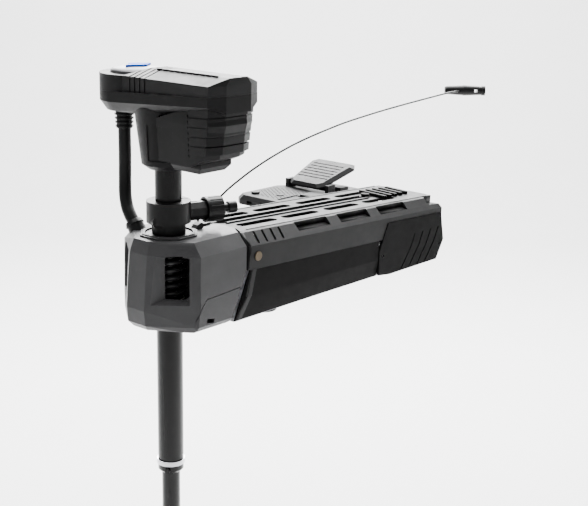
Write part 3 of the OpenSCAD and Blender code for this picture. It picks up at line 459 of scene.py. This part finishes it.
def cover_shadows():
    """Painted shade: dark plates on the floors and back walls of the cover's pockets and along the seam at
    its front edge, where shade falls.
    """
    plates = []
    # Painted shade on each pocket's floor and back wall.
    for x in (222, 336, 450):
        floor = [(0.5, 0.4), (83.5, 0.4), (83.5, 13), (0.5, 13)]
        back = [(0.5, 0), (83.5, 0), (83.5, 8), (0.5, 8)]
        plates.append((floor, (x, -66, -11), ALONG, (0, -0.956, -0.294), -0.3))
        plates.append((back, (x, -66, -11), ALONG, UPWARD, 0.3))
    # Painted shade along the seam at the cover's front edge, on the side and on the chamfer.
    on_side = [(92.0, -57), (92.0, -21), (97.5, -21), (97.5, -57)]
    on_chamfer = [(92.2, 0.5), (91.9, 27.5), (97.5, 27.5), (97.5, 0.5)]
    plates.append((on_side, (0, -HALF_WIDTH, 0), ALONG, UPWARD, 0.3))
    plates.append((on_chamfer, (0, -68, -2), ALONG, (0, -0.725, -0.689), -0.3))
    finish(slabs("cover_shadows", on_cover(mirrored(plates))), PAINTED_SHADE_AND_DARK_TRIM, "mount")


def corner_steps():
    """The closed walls of the steps cut into the cover's upper corners at the stern."""
    start, end, inner, floor = 604, 632, 63, -14
    plates = [
        ([(start, inner), (end, inner), (end, 80), (start, 80)], (0, 0, floor), ALONG, (0, -1, 0), 0.6),
        ([(start, floor), (end, floor), (end, -0.6), (start, -0.6)], (0, -inner, 0), ALONG, UPWARD, -0.6),
        ([(inner, floor), (80, floor), (67.6, -2.7), (inner, -0.6)], (start, 0, 0), (0, -1, 0), UPWARD, 0.6),
    ]
    steps = slabs("corner_steps", on_cover(mirrored(plates)))
    finish(steps, MATERIALS["mount_plastic"], "mount")


def panel_edges():
    """Painted shade: a dark strip where the seam's groove lies in shade, and a raised paler strip beside it,
    along the slanted front edge of each side panel.
    """
    foot = (MAST_X, -HALF_WIDTH, 0)
    knee = (MAST_X, -HALF_WIDTH, 44)
    leaning = (0, 0.107, -0.994)
    # Painted shade of the seam's groove, on the upright face and on the leaning face.
    groove_shade = [([(94.2, 86), (83.2, 44), (87.5, 44), (98.5, 86)], foot, ALONG, UPWARD, 0.3),
            ([(83.2, 0), (63.4, 36.5), (67.6, 36.5), (87.5, 0)], knee, ALONG, leaning, -0.3)]
    strip = [([(99.5, 86), (88.5, 44), (98, 44), (109, 86)], foot, ALONG, UPWARD, 0.4),
             ([(88.5, 0), (68.6, 36.5), (78, 36.5), (98, 0)], knee, ALONG, leaning, -0.4)]
    finish(slabs("panel_groove_shade", mirrored(groove_shade)), PAINTED_SHADE_AND_DARK_TRIM, "mount")
    paler = rounded(slabs("panel_edges", mirrored(strip)), 0.15, 1)
    finish(paler, MATERIALS["mount_plastic"], "mount")


def roof_ridge():
    """A dashed ridge of small dark blocks along the crest of the head's roof."""
    dash = [(-1.5, 0), (1.5, 0), (1.5, 10.5), (-1.5, 10.5)]
    plates = [(dash, (-389.3, 1 - 13 * i, 403.4), (1, 0, 0), (0, -1, 0), -3.9) for i in range(10)]
    finish(rounded(slabs("roof_ridge", plates), 0.3), PAINTED_SHADE_AND_DARK_TRIM, "mast")


def propeller():
    """Three swept, twisted blades on a tapered hub, as one mesh."""
    mesh = bmesh.new()
    axis = Vector((MAST_X, 0, POD_Z))
    stations, sides = 14, 18
    for b in range(3):
        turn = math.radians(120 * b + 90)
        rings = []
        for i in range(stations):
            t = i / (stations - 1)
            r = 22 + 111 * t
            chord = (46 + 36 * math.sin(math.pi * min(1, t * 0.9 + 0.1))) * (1 - t**6) ** 0.5 + 4
            pitch = math.radians(58 - 36 * t)
            thick = 4.2 * (1 - t) + 1.4
            sweep = -10 * t * t
            ring = []
            for a in around(sides):
                u = 0.5 * chord * math.cos(a) + sweep
                w = thick * math.sin(a) * (0.6 + 0.4 * math.cos(a))
                x = 159 + u * math.sin(pitch) * 0.42 + w * math.cos(pitch)
                side = u * math.cos(pitch) - w * math.sin(pitch)
                lean = side / r
                place = Vector((x, r * math.sin(turn + lean), r * math.cos(turn + lean)))
                ring.append(mesh.verts.new((axis + place) * MM))
            rings.append(ring)
        join_rings(mesh, rings)
    profile = [(142, 6.02), (142, 29), (144, 31), (158, 29), (170, 26), (175, 24.4), (176, 23), (176, 6.02)]
    hub = [
        [mesh.verts.new((axis + Vector((x, r * math.cos(a), r * math.sin(a)))) * MM) for a in around(48)]
        for x, r in profile
    ]
    join_rings(mesh, hub, closed=True)
    blades = from_bmesh("propeller_blades", mesh)
    finish(blades, MATERIALS["black_plastic"], "prop", ["propeller"])


pull_cord()
head_cable()
coil_spring()
indicator()
roof_ridge()
housing_dashes()
pedal_grip()
cover_shadows()
corner_steps()
panel_edges()
propeller()


# ---------- stage and light ----------
def stage():
    """A pale floor that curves up into a backdrop behind the object."""
    mesh = bmesh.new()
    low = CAD_BOX[0][2] - 0.02
    ahead = Vector((math.cos(HEADING), math.sin(HEADING), 0))
    level = Vector((math.sin(HEADING), -math.cos(HEADING), 0))
    bend = 2.0
    turn = [0.26 * k for k in range(1, 7)]
    profile = [(-9.0, low), (5.0, low)]
    profile += [(5.0 + bend * math.sin(a), low + bend - bend * math.cos(a)) for a in turn]
    profile += [(7.0, low + 7.0)]
    rows = []
    for d, z in profile:
        rows.append([mesh.verts.new(d * ahead + w * level + Vector((0, 0, z))) for w in (-12, 12)])
    for a, b in zip(rows, rows[1:]):
        mesh.faces.new((a[0], a[1], b[1], b[0]))
    floor = from_bmesh("floor", mesh)
    material, tree, bsdf = new_material("floor")
    where = add(tree, "ShaderNodeTexCoord")
    cloud = add(tree, "ShaderNodeTexNoise", Scale=3.0, Detail=3.0)
    tone = add(tree, "ShaderNodeMapRange")
    tone.inputs["To Min"].default_value, tone.inputs["To Max"].default_value = 0.87, 0.91
    tree.links.new(where.outputs["Object"], cloud.inputs["Vector"])
    tree.links.new(cloud.outputs["Fac"], tone.inputs["Value"])
    tree.links.new(tone.outputs["Result"], bsdf.inputs["Base Color"])
    bsdf.inputs["Roughness"].default_value = 0.9
    floor.data.materials.append(material)


def area(name, place, aim, size, power):
    """A rectangular softbox aimed at a point."""
    data = bpy.data.lights.new(name, "AREA")
    data.shape = "RECTANGLE"
    data.size, data.size_y = size
    data.energy = power
    light = bpy.data.objects.new(name, data)
    light.location = place
    light.rotation_euler = (Vector(aim) - Vector(place)).to_track_quat("-Z", "Y").to_euler()
    bpy.context.scene.collection.objects.link(light)


stage()
world = bpy.data.worlds.new("world")
bpy.context.scene.world = world
world.use_nodes = True
world.node_tree.nodes["Background"].inputs["Color"].default_value = (1, 1, 1, 1)
world.node_tree.nodes["Background"].inputs["Strength"].default_value = 0.5
area("softbox_behind", (2.1, 1.9, 2.0), (-0.1, 0, 0.15), (3.6, 1.8), 420)
area("softbox_top", (-0.2, 0.2, 3.2), (-0.2, 0, 0.1), (2.4, 2.4), 150)
area("softbox_wall", (2.2, 1.9, 4.6), (4.6, 4.0, -0.8), (6.0, 2.5), 1500)
